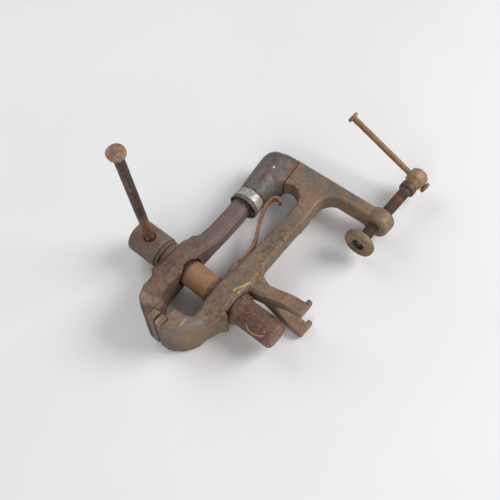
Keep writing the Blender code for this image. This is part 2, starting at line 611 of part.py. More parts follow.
# ---------------------------------------------------------------- build

clear_scene()
parts = make_collection("bench_leg_vice")
cutters = make_collection("cutters")

forged = make_material("yellow_brown_forging", (0.16, 0.115, 0.075), 0.55, 0.6)
dark_forged = make_material("purple_brown_forging", (0.125, 0.09, 0.078), 0.55, 0.6)
plate_steel = make_material("jaw_plate_steel", (0.22, 0.17, 0.12), 0.45, 0.7)
box_red = make_material("maroon_box", (0.12, 0.07, 0.055), 0.5, 0.5)
bright_thread = make_material("brazed_thread", (0.3, 0.2, 0.1), 0.4, 0.9)
socket_grey = make_material("socket_grey", (0.09, 0.08, 0.075), 0.5, 0.6)
zinc = make_material("zinc_collar", (0.42, 0.41, 0.36), 0.4, 0.8)
spring_rust = make_material("spring_rust", (0.3, 0.15, 0.07), 0.6, 0.5)
head_iron = make_material("head_iron", (0.13, 0.09, 0.07), 0.5, 0.6)
handle_iron = make_material("handle_iron", (0.12, 0.08, 0.06), 0.5, 0.6)
knob_iron = make_material("knob_iron", (0.2, 0.11, 0.06), 0.55, 0.5)
clamp_iron = make_material("clamp_iron", (0.14, 0.1, 0.07), 0.5, 0.6)
pad_iron = make_material("pad_iron", (0.14, 0.09, 0.06), 0.6, 0.5)
bar_ochre = make_material("bar_ochre", (0.27, 0.16, 0.08), 0.6, 0.5)

jaw_axis = make_empty("jaw_hinge_axis", PIVOT)
spring_axis = make_empty("spring_flex_axis", SPRING_FOOT)
main_axis = make_empty("main_screw_axis", (0, 0, MID), (0, math.radians(90), 0))
handle_axis = make_empty("handle_axis", along_handle(0), (HANDLE_LEAN, 0, 0))
clamp_axis = make_empty("clamp_screw_axis", (CLAMP_X, 0, MID), (math.radians(-90), 0, 0))
clamp_bar_axis = make_empty("clamp_bar_axis", along_clamp_bar(0), (0, -CLAMP_BAR_LEAN, 0))
socket_axis = make_empty("socket_axis", MOUTH, (math.radians(-90), 0, SOCKET_TILT))
socket_envelope = turned("socket_envelope", [(0, 20.6)] + SOCKET_OUTSIDE, parent=socket_axis)

fixed_frame()
jaw_plate("fixed_jaw_plate", 1)
screw_box()
leaf_spring()
hinge_pin()
moving_jaw()
jaw_plate("moving_jaw_plate", -1, jaw_axis)
socket()
main_screw()
handle()
bench_clamp()

origin = make_empty("vice_origin", (-CENTRE_X, -CENTRE_Y, 0))
for thing in list(parts.objects) + list(cutters.objects):
    if thing is not origin and thing.parent is None:
        thing.parent = origin
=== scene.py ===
"""Small forged bench leg vice lying on its side: its surfaces, the floor, the light and the camera.

Millimetre figures are in the vice's own frame: X along the main screw from its head, Y down the
legs from the jaws, Z up across the jaws.  place() turns them into the shared frame, in metres.
"""
import math

import bmesh
import bpy
from mathutils import Matrix, Vector, noise


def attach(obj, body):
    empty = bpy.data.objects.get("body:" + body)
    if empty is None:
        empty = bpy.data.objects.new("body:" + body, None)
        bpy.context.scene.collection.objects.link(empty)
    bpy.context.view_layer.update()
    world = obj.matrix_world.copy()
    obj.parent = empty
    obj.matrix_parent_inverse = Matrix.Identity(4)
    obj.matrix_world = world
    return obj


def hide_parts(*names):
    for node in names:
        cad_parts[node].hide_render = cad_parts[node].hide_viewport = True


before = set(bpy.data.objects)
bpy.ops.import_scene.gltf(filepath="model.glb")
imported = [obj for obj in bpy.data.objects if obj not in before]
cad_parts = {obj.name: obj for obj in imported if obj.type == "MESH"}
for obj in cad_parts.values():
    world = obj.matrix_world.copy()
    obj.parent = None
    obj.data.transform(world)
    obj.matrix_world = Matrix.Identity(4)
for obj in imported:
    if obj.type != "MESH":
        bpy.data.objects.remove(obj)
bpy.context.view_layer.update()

MM = 0.001
CENTRE = Vector((8.35, 111.1, 0.0))            # the vice's middle, which lies at the origin
MID = 31.0                                     # height of both screws' axes

# Main screw and its handle.
HEAD_RADIUS = 21.3
HEAD_ENDS = (-114.5, -67.8)
SCREW_RADIUS = 11.0
SCREW_TIP = 98.0
SCREW_PITCH = 5.0
SCREW_THREAD_ENDS = (-58.0, 97.0)
SCREW_THREAD_DEPTH = 1.5
HANDLE_X = -88.8
HANDLE_LEAN = math.radians(4.4)
HANDLE_RADIUS = 6.1
HANDLE_TOP = 188.0                             # inner face of the upper knob, from the screw's axis
HANDLE_BOTTOM = -22.3                          # and of the lower one
HANDLE_HOLE = 7.1                              # radius of the hole in the screw's head
KNOB_RADIUS = 11.0

# Bench clamp: its screw, sliding bar and pad.
CLAMP_X = 110.5
CLAMP_RADIUS = 7.6
CLAMP_PITCH = 2.5
CLAMP_THREAD_ENDS = (174.5, 267.0)
CLAMP_THREAD_DEPTH = 0.85
CLAMP_HEAD_START = 286.0                       # where the head's flats begin
CLAMP_HEAD_FLATS = 8
CLAMP_BAR_Y = 294.6
CLAMP_BAR_LEAN = math.radians(66.8)
CLAMP_BAR_RADIUS = 4.0
CLAMP_BAR_TOP = 114.5
CLAMP_BAR_BOTTOM = -13.4
CLAMP_BAR_HOLE = 4.5
CLAMP_BAR_HEAD = 7.6                           # radius of the bar's peened heads
PAD_RADIUS = 20.7
PAD_FACE = 161.4
PAD_BACK = 171.2
PAD_BORE = 5.3

# Surfaces.
REFLECTANCE = 0.9                              # of a surface, against its colour on a screen
SPECULAR = 0.28                                # a little under the usual 0.5, as rust is dull
BUMP_STRENGTH = 0.6
BUMP_DEPTH = 0.0007                            # metres
GRAIN = 0.4                                    # share of the finest roughness in the bump
MERGE_DISTANCE = 0.00001                       # metres
SWELL_OCTAVES = 2
PIT_OCTAVES = 3
PIT_SIZE = 2.2
DENTS_PER_METRE = 90                           # on turned pieces
SHARP_ANGLE = math.radians(50)
FACING_SWELL = 0.1                             # closes the running gap round the jaw facings

# Floor, light and camera, in metres.
HALF_FLOOR = 30.0                              # far enough to reach the horizon of a low view
WORLD_COLOUR = (0.95, 0.97, 1.0, 1.0)
WORLD_STRENGTH = 0.28
PICTURE_WIDTH = 500                            # pixels
FOCAL_LENGTH = 700.0                           # in the same pixels
SENSOR_WIDTH = 36.0                            # millimetres
SHIFT_Y = -0.001
FAR_CLIP = 100.0
EYE = (325.77, -272.09, 771.42)                # millimetres in the vice's own frame
AZIMUTH, DOWN, ROLL = math.radians(42.5), math.radians(57.8), math.radians(-2.8)


def place(x, y, z):
    """A point of the vice's own frame, in the shared frame."""
    return (Vector((x, y, z)) - CENTRE) * MM


def srgb(*channels):
    """A colour from red, green and blue screen values 0 to 255, as linear reflectance."""
    linear = [((channel / 255 + 0.055) / 1.055) ** 2.4 for channel in channels]
    return (*(channel * REFLECTANCE for channel in linear), 1.0)


# ---------------------------------------------------------------- materials

class Paint:
    """One procedural material. Its methods add nodes and return an output socket."""

    def __init__(self, name):
        self.material = bpy.data.materials.new(name)
        self.material.use_nodes = True
        self.tree = self.material.node_tree
        self.shader = self.tree.nodes["Principled BSDF"]
        self.coords = self.node("ShaderNodeTexCoord").outputs["Object"]

    def node(self, kind, **settings):
        """Adds a node and returns the node itself."""
        made = self.tree.nodes.new(kind)
        for key, value in settings.items():
            setattr(made, key, value)
        return made

    def feed(self, target, value):
        """Links an output socket to an input, or sets the input to a plain value."""
        if isinstance(value, bpy.types.NodeSocket):
            self.tree.links.new(value, target)
        else:
            target.default_value = value

    def math(self, operation, first, second):
        made = self.node("ShaderNodeMath", operation=operation)
        self.feed(made.inputs[0], first)
        self.feed(made.inputs[1], second)
        return made.outputs[0]

    def noise(self, scale, detail, roughness, shift=0.0):
        """Noise from about 0.2 to 0.8, with scale features to a metre."""
        moved = self.node("ShaderNodeMapping")
        self.feed(moved.inputs["Vector"], self.coords)
        moved.inputs["Location"].default_value = (shift, shift * 0.7, -shift)
        made = self.node("ShaderNodeTexNoise")
        self.feed(made.inputs["Vector"], moved.outputs[0])
        made.inputs["Scale"].default_value = scale
        made.inputs["Detail"].default_value = detail
        made.inputs["Roughness"].default_value = roughness
        return made.outputs[0]

    def pits(self, scale):
        """0 at the middle of each pit, rising outwards."""
        made = self.node("ShaderNodeTexVoronoi")
        self.feed(made.inputs["Vector"], self.coords)
        made.inputs["Scale"].default_value = scale
        return made.outputs["Distance"]

    def span(self, value, low, high, to_low=0.0, to_high=1.0):
        """The value's range from low to high, eased onto the range from to_low to to_high."""
        made = self.node("ShaderNodeMapRange", interpolation_type="SMOOTHSTEP")
        self.feed(made.inputs["Value"], value)
        made.inputs["From Min"].default_value = low
        made.inputs["From Max"].default_value = high
        made.inputs["To Min"].default_value = to_low
        made.inputs["To Max"].default_value = to_high
        return made.outputs["Result"]

    def mix(self, factor, first, second):
        made = self.node("ShaderNodeMix", data_type="RGBA")
        self.feed(made.inputs[0], factor)
        self.feed(made.inputs[6], first)
        self.feed(made.inputs[7], second)
        return made.outputs[2]

    def ramp(self, value, colours):
        """A colour from (position, colour) pairs."""
        made = self.node("ShaderNodeValToRGB")
        self.feed(made.inputs["Fac"], value)
        elements = made.color_ramp.elements
        while len(elements) < len(colours):
            elements.new(0.5)
        for element, (position, colour) in zip(elements, colours):
            element.position = position
            element.color = colour
        return made.outputs["Color"]

    def pointiness(self):
        return self.node("ShaderNodeNewGeometry").outputs["Pointiness"]

    def near(self, points, radius, soft):
        """1 within a radius in millimetres of any of the points, fading to 0 over soft."""
        closest = None
        for point in points:
            made = self.node("ShaderNodeVectorMath", operation="DISTANCE")
            self.feed(made.inputs[0], self.coords)
            made.inputs[1].default_value = place(*point)
            distance = made.outputs["Value"]
            closest = distance if closest is None else self.math("MINIMUM", closest, distance)
        return self.span(closest, radius * MM, (radius + soft) * MM, 1.0, 0.0)

    def band(self, axis, low, high, soft):
        """1 between two places along an axis, fading to 0 over soft, in millimetres."""
        index = "XYZ".index(axis)
        split = self.node("ShaderNodeSeparateXYZ")
        self.feed(split.inputs[0], self.coords)
        position = split.outputs[index]
        start = (low - CENTRE[index]) * MM
        end = (high - CENTRE[index]) * MM
        return self.math("MULTIPLY", self.span(position, start - soft * MM, start),
                         self.span(position, end, end + soft * MM, 1.0, 0.0))

    def around(self, axis, low, high):
        """0 within radius low of the screw that runs along axis, and 1 beyond high, in millimetres."""
        middle = place(0, 0, MID) if axis == "X" else place(CLAMP_X, 0, MID)
        shifted = self.node("ShaderNodeVectorMath", operation="SUBTRACT")
        self.feed(shifted.inputs[0], self.coords)
        shifted.inputs[1].default_value = middle
        flat = self.node("ShaderNodeVectorMath", operation="MULTIPLY")
        self.feed(flat.inputs[0], shifted.outputs[0])
        flat.inputs[1].default_value = (0, 1, 1) if axis == "X" else (1, 0, 1)
        length = self.node("ShaderNodeVectorMath", operation="LENGTH")
        self.feed(length.inputs[0], flat.outputs[0])
        return self.span(length.outputs["Value"], low * MM, high * MM)

    def torn(self, mask, scale, low, high, shift=0.0):
        """The mask broken up by noise: gone where the noise is under low, whole above high."""
        return self.math("MULTIPLY", mask, self.span(self.noise(scale, 4, 0.6, shift), low, high))


def add_rust(paint, colour, rust, seed):
    """Patches of freckles over the colour."""
    for i, (tone, patch_scale, patch_start, freckle_scale, freckle_start, strength) in enumerate(rust):
        patch = paint.span(paint.noise(patch_scale, 3, 0.5, seed + 3 + i), patch_start, patch_start + 0.16)
        freckle = paint.span(paint.noise(freckle_scale, 5, 0.6, seed + 7 + i), freckle_start,
                             freckle_start + 0.14)
        spread = paint.math("MULTIPLY", paint.math("MULTIPLY", patch, freckle), strength)
        colour = paint.mix(spread, colour, srgb(*tone))
    return colour


def add_wear(paint, colour, grime_and_shade, worn, wear, seed):
    """Pale and dark specks, painted shade in the hollows and creases, and rubbed edges."""
    pale = paint.span(paint.noise(330, 4, 0.7, seed + 16), 0.5, 0.68)
    colour = paint.mix(paint.math("MULTIPLY", pale, 0.3), colour, srgb(*worn))
    speck = paint.span(paint.noise(380, 4, 0.7, seed + 17), 0.54, 0.68)
    colour = paint.mix(paint.math("MULTIPLY", speck, 0.5), colour, srgb(*grime_and_shade))
    point = paint.pointiness()
    # Painted shade: hollows and creases, where the pointiness is low, are darkened towards the dark speck
    # colour.
    painted_hollow_shade = paint.span(point, 0.40, 0.485, 1.0, 0.0)
    colour = paint.mix(paint.math("MULTIPLY", painted_hollow_shade, 0.7), colour, srgb(*grime_and_shade))
    rubbed = paint.math("MULTIPLY", paint.span(point, 0.525, 0.62), wear)
    rubbed = paint.math("MULTIPLY", rubbed, paint.span(paint.noise(140, 4, 0.6, seed + 13), 0.34, 0.62))
    return paint.mix(rubbed, colour, srgb(*worn))


def add_bump(paint, seed):
    """Fine grain, broader unevenness and pits."""
    height = paint.math("MULTIPLY", paint.noise(800, 5, 0.65, seed + 23), GRAIN)
    height = paint.math("ADD", height, paint.math("MULTIPLY", paint.noise(190, 4, 0.55, seed + 29), 0.8))
    height = paint.math("ADD", height, paint.math("MULTIPLY", paint.span(paint.pits(330), 0.0, 0.22), 0.25))
    bump = paint.node("ShaderNodeBump")
    bump.inputs["Strength"].default_value = BUMP_STRENGTH
    bump.inputs["Distance"].default_value = BUMP_DEPTH
    paint.feed(bump.inputs["Height"], height)
    paint.feed(paint.shader.inputs["Normal"], bump.outputs["Normal"])


# grime is the colour of the dark specks, and also of the painted shade in the hollows.
def iron(name, tones, rust=(), grime_and_shade=(56, 45, 38), worn=(158, 138, 116), wear=0.4, rough=0.5, metal=0.15,
         seed=0.0, marks=()):
    """Aged iron: soft blotches, rust freckles, marks, painted shade in the hollows, rubbed edges and pits.

    tones are (place on the ramp, screen colour); rust is (colour, patch scale, patch start,
    freckle scale, freckle start, strength); marks are functions that return (mask, screen colour).
    Every noise is shifted by the seed and a step of its own, so no two patterns line up.
    """
    paint = Paint(name)
    broad = paint.noise(26, 5, 0.5, seed)
    fine = paint.noise(210, 5, 0.6, seed + 1)
    blotch = paint.math("ADD", paint.math("MULTIPLY", broad, 0.5), paint.math("MULTIPLY", fine, 0.5))
    blotch = paint.span(blotch, 0.3, 0.7, 0.22, 0.8)
    colour = paint.ramp(blotch, [(spot, srgb(*tone)) for spot, tone in tones])
    colour = add_rust(paint, colour, rust, seed)
    for mark in marks:
        mask, tone = mark(paint)
        colour = paint.mix(mask, colour, srgb(*tone))
    colour = add_wear(paint, colour, grime_and_shade, worn, wear, seed)
    paint.feed(paint.shader.inputs["Base Color"], colour)
    roughness = paint.span(paint.noise(150, 5, 0.6, seed + 19), 0.3, 0.7, rough - 0.1, rough + 0.12)
    paint.feed(paint.shader.inputs["Roughness"], roughness)
    paint.shader.inputs["Metallic"].default_value = metal
    paint.shader.inputs["Specular IOR Level"].default_value = SPECULAR
    add_bump(paint, seed)
    return paint.material


# ---------------------------------------------------------------- marks

# Broken lines of scratches and paint, as points on the surface.
SCRATCH = [(77.3, -13.6, 41.9), (79, -15, 39.6), (81.2, -16, 37.7), (83.7, -16.5, 36.4), (86.2, -16.8, 35.6),
           (89.4, -16.6, 36.3), (92.6, -16.2, 37.3), (95.8, -15.6, 38.6), (99, -14.8, 40.2),
           (101.5, -13.5, 42), (104, -11.9, 43.7), (102, -11.2, 44.3), (100.7, -9.1, 45.8)]
EYE_PAINT = [(42, 6.5, 53.6), (42.5, 9.5, 53.5), (44.3, 12.8, 53.4), (46, 16.2, 52.9), (47.1, 20.3, 51.8),
             (47.6, 25, 49.8), (47.9, 29.2, 47.3)]
EYE_TICK = [(47.9, 7.7, 52.7), (47.6, 10.8, 52.9), (47.6, 14.3, 52.8), (47, 18.6, 52.3)]
JAW_TRACE = [(43.1, -51.5, 45.4), (44.9, -46.9, 44), (46.9, -42.2, 43.8), (49, -37.4, 45.3),
             (50.9, -33.3, 47.5), (51.7, -31.5, 49.3)]


def along(points, step):
    """Points about a step apart, in millimetres, along a broken line."""
    dense = []
    for start, end in zip(points, points[1:]):
        start, end = Vector(start), Vector(end)
        count = max(1, round((end - start).length / step))
        dense += [tuple(start.lerp(end, k / count)) for k in range(count)]
    return dense + [points[-1]]


# Each mark is a function that returns its mask and its screen colour.  iron() lays them in order.

def plate_tan(paint):
    spots = [(1.8, -83.6, 61.6), (2.6, -83.8, 58), (5, -84, 61), (2, -80, 61.6), (-2, -70.5, 61.6)]
    return paint.torn(paint.near(spots, 1.4, 3.0), 260, 0.3, 0.52, 5.0), (174, 148, 120)


def scratch_white(paint):
    return paint.torn(paint.near(along(SCRATCH, 1.3), 0.15, 0.8), 420, 0.42, 0.5), (228, 212, 196)


def scratch_orange(paint):
    return paint.torn(paint.near(SCRATCH[1:9], 0.9, 1.6), 450, 0.42, 0.56, 5.0), (196, 132, 78)


def eye_yellow(paint):
    spots = along(EYE_PAINT, 2.0) + EYE_TICK
    return paint.torn(paint.near(spots, 0.5, 1.8), 330, 0.38, 0.52), (200, 170, 108)


def jaw_orange(paint):
    return paint.torn(paint.near(along(JAW_TRACE, 2.0), 0.7, 1.6), 330, 0.34, 0.5, 2.0), (194, 112, 78)


def jaw_scrapes(paint):
    spots = along([(27.2, -60.6, 62), (28, -65.6, 62), (28.4, -69.3, 61.6), (29.1, -71.8, 61)], 1.0)
    return paint.torn(paint.near(spots, 0.3, 1.1), 300, 0.34, 0.5, 9.0), (186, 178, 170)


def jaw_grey(paint):
    spots = [(30.5, -62, 62), (34.6, -60.2, 61), (40.1, -56.5, 57), (42.4, -53.4, 51)]
    return paint.math("MULTIPLY", paint.near(spots, 3.0, 6.0), 0.6), (132, 124, 120)


def corner_grey(paint):
    spots = [(-8, 203, 44), (10, 204, 44), (28, 202, 44), (46, 206, 44), (64, 208, 44)]
    return paint.torn(paint.near(spots, 5.0, 16.0), 60, 0.36, 0.6, 6.0), (112, 107, 105)


def corner_freckles(paint):
    broad = paint.torn(paint.band("Y", 168, 220, 8), 60, 0.42, 0.56, 4.0)
    return paint.torn(paint.math("MULTIPLY", broad, 0.75), 240, 0.5, 0.6, 2.0), (160, 116, 70)


def leg_ochre(paint):
    mask = paint.math("MULTIPLY", paint.band("X", 35, 48, 5), 0.45)
    return paint.torn(mask, 42, 0.44, 0.64, 8.0), (136, 112, 84)


def leg_rust(paint):
    spots = [(36.4, 58.8, 44), (44.8, 53.3, 43.6), (39.2, 63, 44), (41, 56.1, 44), (46.9, 52.7, 42),
             (46, 48, 43.8)]
    return paint.torn(paint.near(spots, 0.9, 2.4), 420, 0.4, 0.56, 3.0), (120, 66, 44)


def fork_warm(paint):
    mask = paint.math("MULTIPLY", paint.band("X", 62, 140, 12), paint.band("Y", 15, 60, 6))
    return paint.torn(paint.math("MULTIPLY", mask, 0.45), 70, 0.36, 0.56, 2.0), (150, 116, 96)


def chalk(paint):
    spots = along([(50.5, 43.6, 43.6), (51.4, 46.4, 42.4), (54.6, 46.6, 41.6), (57.9, 42.8, 43.3)], 1.2)
    return paint.torn(paint.near(spots, 0.2, 1.0), 420, 0.38, 0.52, 8.0), (176, 150, 122)


def jaw_polish(paint):
    spots = [(-33, -68.5, 62), (-27, -68, 62), (-21, -67, 62), (-16, -65.5, 62), (-27, -72, 61)]
    mask = paint.math("MULTIPLY", paint.near(spots, 2.5, 5.0), 0.8)
    return paint.torn(mask, 160, 0.34, 0.58, 4.0), (154, 134, 118)


def jaw_leg_grey(paint):
    return paint.math("MULTIPLY", paint.band("Y", 42, 120, 12), 0.5), (122, 108, 106)


def jaw_rust(paint):
    spots = [(-34, -52, 56), (-43, -40, 54), (-30, -46, 56), (-45, 6, 56)]
    return paint.torn(paint.near(spots, 1.5, 4.0), 260, 0.46, 0.62, 7.0), (140, 82, 56)


def hole_rust(paint):
    angles = [math.radians(degrees) for degrees in range(-75, 60, 15)]
    rim = [(HANDLE_X + 9.0 * math.cos(angle), -1.6 + 9.0 * math.sin(angle), 51.6) for angle in angles]
    return paint.torn(paint.near(rim, 0.8, 2.4), 260, 0.4, 0.58), (158, 90, 50)


def head_shadow(paint):
    return paint.math("MULTIPLY", paint.near([(-75, 2, 51), (-78, 8, 50)], 3.0, 9.0), 0.4), (118, 106, 98)


def socket_spots(paint):
    spots = [(-38.8, 168.8, 52.4), (-39.7, 157.8, 52), (-40.1, 153.4, 51.7), (-40, 161.5, 52)]
    return paint.torn(paint.near(spots, 1.4, 2.4), 260, 0.36, 0.54, 3.0), (116, 66, 54)


def socket_fleck(paint):
    return paint.near([(-37.9, 178.4, 52.5), (-38.1, 179.6, 52.6)], 1.1, 0.4), (224, 214, 198)


def knuckle_rust(paint):
    strip = along([(-17.4, 170, 45), (-18.6, 178, 45), (-19.6, 188, 45), (-20.6, 198, 45), (-22, 206, 45)],
                  4.0)
    return paint.torn(paint.near(strip, 1.6, 3.6), 170, 0.34, 0.56, 5.0), (108, 72, 61)


def knuckle_spots(paint):
    spots = [(-18.6, 190.6, 44), (-20.4, 204.4, 44), (-26.6, 195.5, 47.6), (-18.8, 174.2, 45.2),
             (-19.8, 181.7, 45.3), (-21, 199, 45)]
    return paint.torn(paint.near(spots, 0.8, 1.6), 420, 0.38, 0.54, 6.0), (158, 70, 54)


def handle_rust(paint):
    patches = paint.torn(paint.band("Z", 48, 92, 16), 90, 0.42, 0.58, 3.0)
    return paint.torn(patches, 320, 0.34, 0.52), (156, 104, 62)


def screw_grime(paint):
    groove = paint.math("SUBTRACT", 1.0, paint.around("X", 9.8, 10.7))
    return paint.math("MULTIPLY", groove, 0.8), (48, 38, 32)


def clamp_grooves(paint):
    groove = paint.math("SUBTRACT", 1.0, paint.around("Y", 6.7, 7.5))
    return paint.math("MULTIPLY", groove, paint.band("Y", 172, 268, 1)), (44, 34, 29)


def clamp_tan(paint):
    return paint.band("Y", 285.5, 310, 0.8), (150, 126, 100)


def clamp_tan_patches(paint):
    return paint.torn(paint.band("Y", 286, 310, 1), 70, 0.44, 0.6, 3.0), (162, 130, 86)


def clamp_neck(paint):
    return paint.torn(paint.band("Y", 279.2, 285, 0.6), 200, 0.24, 0.46, 3.0), (140, 98, 62)


def clamp_collar(paint):
    return paint.band("Y", 269.5, 278.2, 0.7), (88, 72, 66)


def thread_paint(paint):
    crest = paint.math("MULTIPLY", paint.around("Y", 6.6, 7.3), paint.band("Y", 248, 253, 1.0))
    return paint.torn(crest, 260, 0.3, 0.5), (158, 84, 54)


def sleeve_bright(paint):
    return paint.math("MULTIPLY", paint.band("X", -19, 12, 6), 0.85), (166, 128, 94)


def sleeve_grease(paint):
    return paint.math("MULTIPLY", paint.band("X", -60, -25, 4), 0.85), (46, 42, 44)


def sleeve_edge(paint):
    return paint.torn(paint.band("X", 15, 24, 4), 140, 0.3, 0.6, 2.0), (104, 78, 60)


def box_end_rust(paint):
    return paint.torn(paint.band("X", 108, 120, 5), 80, 0.3, 0.55, 4.0), (132, 94, 80)


def pad_edge(paint):
    return paint.torn(paint.around("Y", 16.5, 19.8), 90, 0.34, 0.6, 2.0), (132, 110, 90)


def pad_recess(paint):
    return paint.math("SUBTRACT", 1.0, paint.around("Y", 7.8, 9.0)), (40, 32, 30)


def bar_grey(paint):
    return paint.torn(1.0, 48, 0.5, 0.62, 9.0), (128, 114, 106)


# ---------------------------------------------------------------- material table

FORGED_TONES = [(0.34, (104, 87, 75)), (0.46, (128, 106, 90)), (0.56, (136, 114, 95)), (0.68, (144, 121, 98))]
FORGED_RUST = [((150, 114, 72), 34, 0.47, 150, 0.5, 0.6), ((110, 105, 102), 24, 0.48, 60, 0.42, 0.6)]
materials = {
    "forged_frame": iron("forged_frame", FORGED_TONES, FORGED_RUST, seed=1.3, wear=0.3, worn=(158, 128, 96),
                         marks=[leg_ochre, corner_grey, corner_freckles, fork_warm, leg_rust, chalk,
                                jaw_grey, jaw_scrapes, jaw_orange, eye_yellow]),
    "forged_jaw": iron("forged_jaw", [(0.34, (92, 72, 62)), (0.48, (111, 87, 77)), (0.58, (117, 93, 83)),
                                      (0.7, (124, 100, 86))],
                       [((136, 96, 68), 34, 0.52, 150, 0.54, 0.5)], seed=4.1, rough=0.58,
                       worn=(138, 116, 98), wear=0.2, marks=[jaw_leg_grey, jaw_polish, jaw_rust]),
    "jaw_plate_steel": iron("jaw_plate_steel", [(0.36, (104, 86, 72)), (0.5, (122, 102, 86)),
                                                (0.7, (136, 114, 94))],
                            [((140, 100, 70), 60, 0.5, 170, 0.5, 0.5)], seed=2.2, rough=0.5, metal=0.2,
                            wear=0.7, worn=(176, 152, 116), marks=[plate_tan]),
    "maroon_box": iron("maroon_box", [(0.34, (96, 70, 61)), (0.48, (114, 84, 74)), (0.6, (122, 92, 80)),
                                      (0.7, (127, 98, 87))],
                       [((130, 84, 62), 40, 0.52, 170, 0.55, 0.5)], seed=6.4, rough=0.45, wear=0.25,
                       marks=[box_end_rust, sleeve_bright, sleeve_edge, sleeve_grease, scratch_orange,
                              scratch_white]),
    "brazed_thread": iron("brazed_thread", [(0.3, (120, 90, 50)), (0.7, (150, 118, 70))], seed=3.0),
    "socket_iron": iron("socket_iron", [(0.34, (86, 80, 78)), (0.5, (102, 95, 93)), (0.68, (112, 104, 100))],
                        [((116, 76, 62), 50, 0.54, 170, 0.56, 0.6)], seed=7.7, rough=0.48, wear=0.2,
                        marks=[knuckle_rust, knuckle_spots, socket_spots, socket_fleck]),
    "zinc_collar": iron("zinc_collar", [(0.34, (140, 137, 130)), (0.5, (168, 165, 158)),
                                        (0.68, (198, 196, 188))],
                        seed=8.1, rough=0.42, metal=0.35, worn=(196, 194, 186), grime_and_shade=(92, 84, 74)),
    "rusted_spring": iron("rusted_spring", [(0.34, (116, 80, 54)), (0.5, (146, 104, 76)),
                                            (0.68, (158, 120, 92))],
                          seed=9.9, rough=0.6, wear=0.2),
    "screw_iron": iron("screw_iron", [(0.34, (94, 76, 67)), (0.48, (114, 92, 81)), (0.6, (120, 99, 89)),
                                      (0.7, (126, 108, 96))],
                       [((128, 90, 64), 34, 0.52, 140, 0.54, 0.5)], seed=5.3, rough=0.5, wear=0.25,
                       marks=[head_shadow, screw_grime, hole_rust]),
    "handle_iron": iron("handle_iron", [(0.34, (66, 54, 52)), (0.48, (82, 68, 65)), (0.58, (96, 76, 66)),
                                        (0.7, (116, 86, 64))],
                        [((146, 98, 64), 46, 0.46, 190, 0.46, 0.6)], seed=11.2, rough=0.5, wear=0.2,
                        marks=[handle_rust]),
    "knob_iron": iron("knob_iron", [(0.34, (130, 100, 84)), (0.48, (158, 132, 112)), (0.6, (168, 146, 128)),
                                    (0.7, (178, 154, 128))],
                      [((190, 132, 66), 110, 0.43, 240, 0.43, 0.85),
                       ((136, 126, 122), 70, 0.48, 160, 0.44, 0.7)], seed=12.5, rough=0.55, wear=0.3),
    "clamp_iron": iron("clamp_iron", [(0.34, (76, 60, 52)), (0.5, (96, 76, 66)), (0.68, (112, 90, 76))],
                       seed=13.6, rough=0.52, wear=0.3,
                       marks=[clamp_grooves, thread_paint, clamp_collar, clamp_neck, clamp_tan,
                              clamp_tan_patches]),
    "pad_iron": iron("pad_iron", [(0.34, (104, 82, 70)), (0.5, (132, 108, 93)), (0.68, (152, 127, 106))],
                     [((128, 88, 66), 60, 0.5, 170, 0.52, 0.6)], seed=14.9, rough=0.6,
                     marks=[pad_edge, pad_recess]),
    "ochre_bar": iron("ochre_bar", [(0.34, (122, 92, 66)), (0.48, (150, 114, 78)), (0.58, (164, 122, 74)),
                                    (0.7, (158, 128, 96))],
                      seed=16.1, rough=0.58, wear=0.25, marks=[bar_grey]),
}


# ---------------------------------------------------------------- shapes

def wear_in(thing, heave, heave_size, pit):
    """Uneven forged surface: broad swells and small pits, in millimetres."""
    layers = (("swell", heave, heave_size, SWELL_OCTAVES), ("pit", pit, PIT_SIZE, PIT_OCTAVES))
    for label, height, size, octaves in layers:
        if height:
            texture = bpy.data.textures.new(f"{thing.name}_{label}", "CLOUDS")
            texture.noise_scale = size * MM
            texture.noise_depth = octaves
            push = thing.modifiers.new(label, "DISPLACE")
            push.texture = texture
            push.texture_coords = "LOCAL"
            push.strength = height * MM
            push.mid_level = 0.5


def refine(node, slot, voxel, rounds, heave=0.4, heave_size=22.0, pit=0.08):
    """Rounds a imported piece's edges and gives it a worn surface and its material."""
    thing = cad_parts[node]
    weld = thing.modifiers.new("weld", "WELD")
    weld.merge_threshold = MERGE_DISTANCE
    remesh = thing.modifiers.new("even mesh", "REMESH")
    remesh.mode = "VOXEL"
    remesh.voxel_size = voxel * MM
    remesh.use_smooth_shade = True
    smooth = thing.modifiers.new("round edges", "SMOOTH")
    smooth.factor = 0.5
    smooth.iterations = rounds
    wear_in(thing, heave, heave_size, pit)
    thing.data.materials.clear()
    thing.data.materials.append(materials[slot])
    return thing


def resample(profile, step, rounds):
    """The profile in even steps, its corners rounded by averaging."""
    points = [Vector(profile[0])]
    for start, end in zip(profile, profile[1:]):
        start, end = Vector(start), Vector(end)
        count = max(1, math.ceil((end - start).length / step))
        points += [start.lerp(end, (k + 1) / count) for k in range(count)]
    for _ in range(rounds):
        middle = [(before + 2 * here + after) / 4
                  for before, here, after in zip(points, points[1:], points[2:])]
        points = [points[0]] + middle + [points[-1]]
    return points


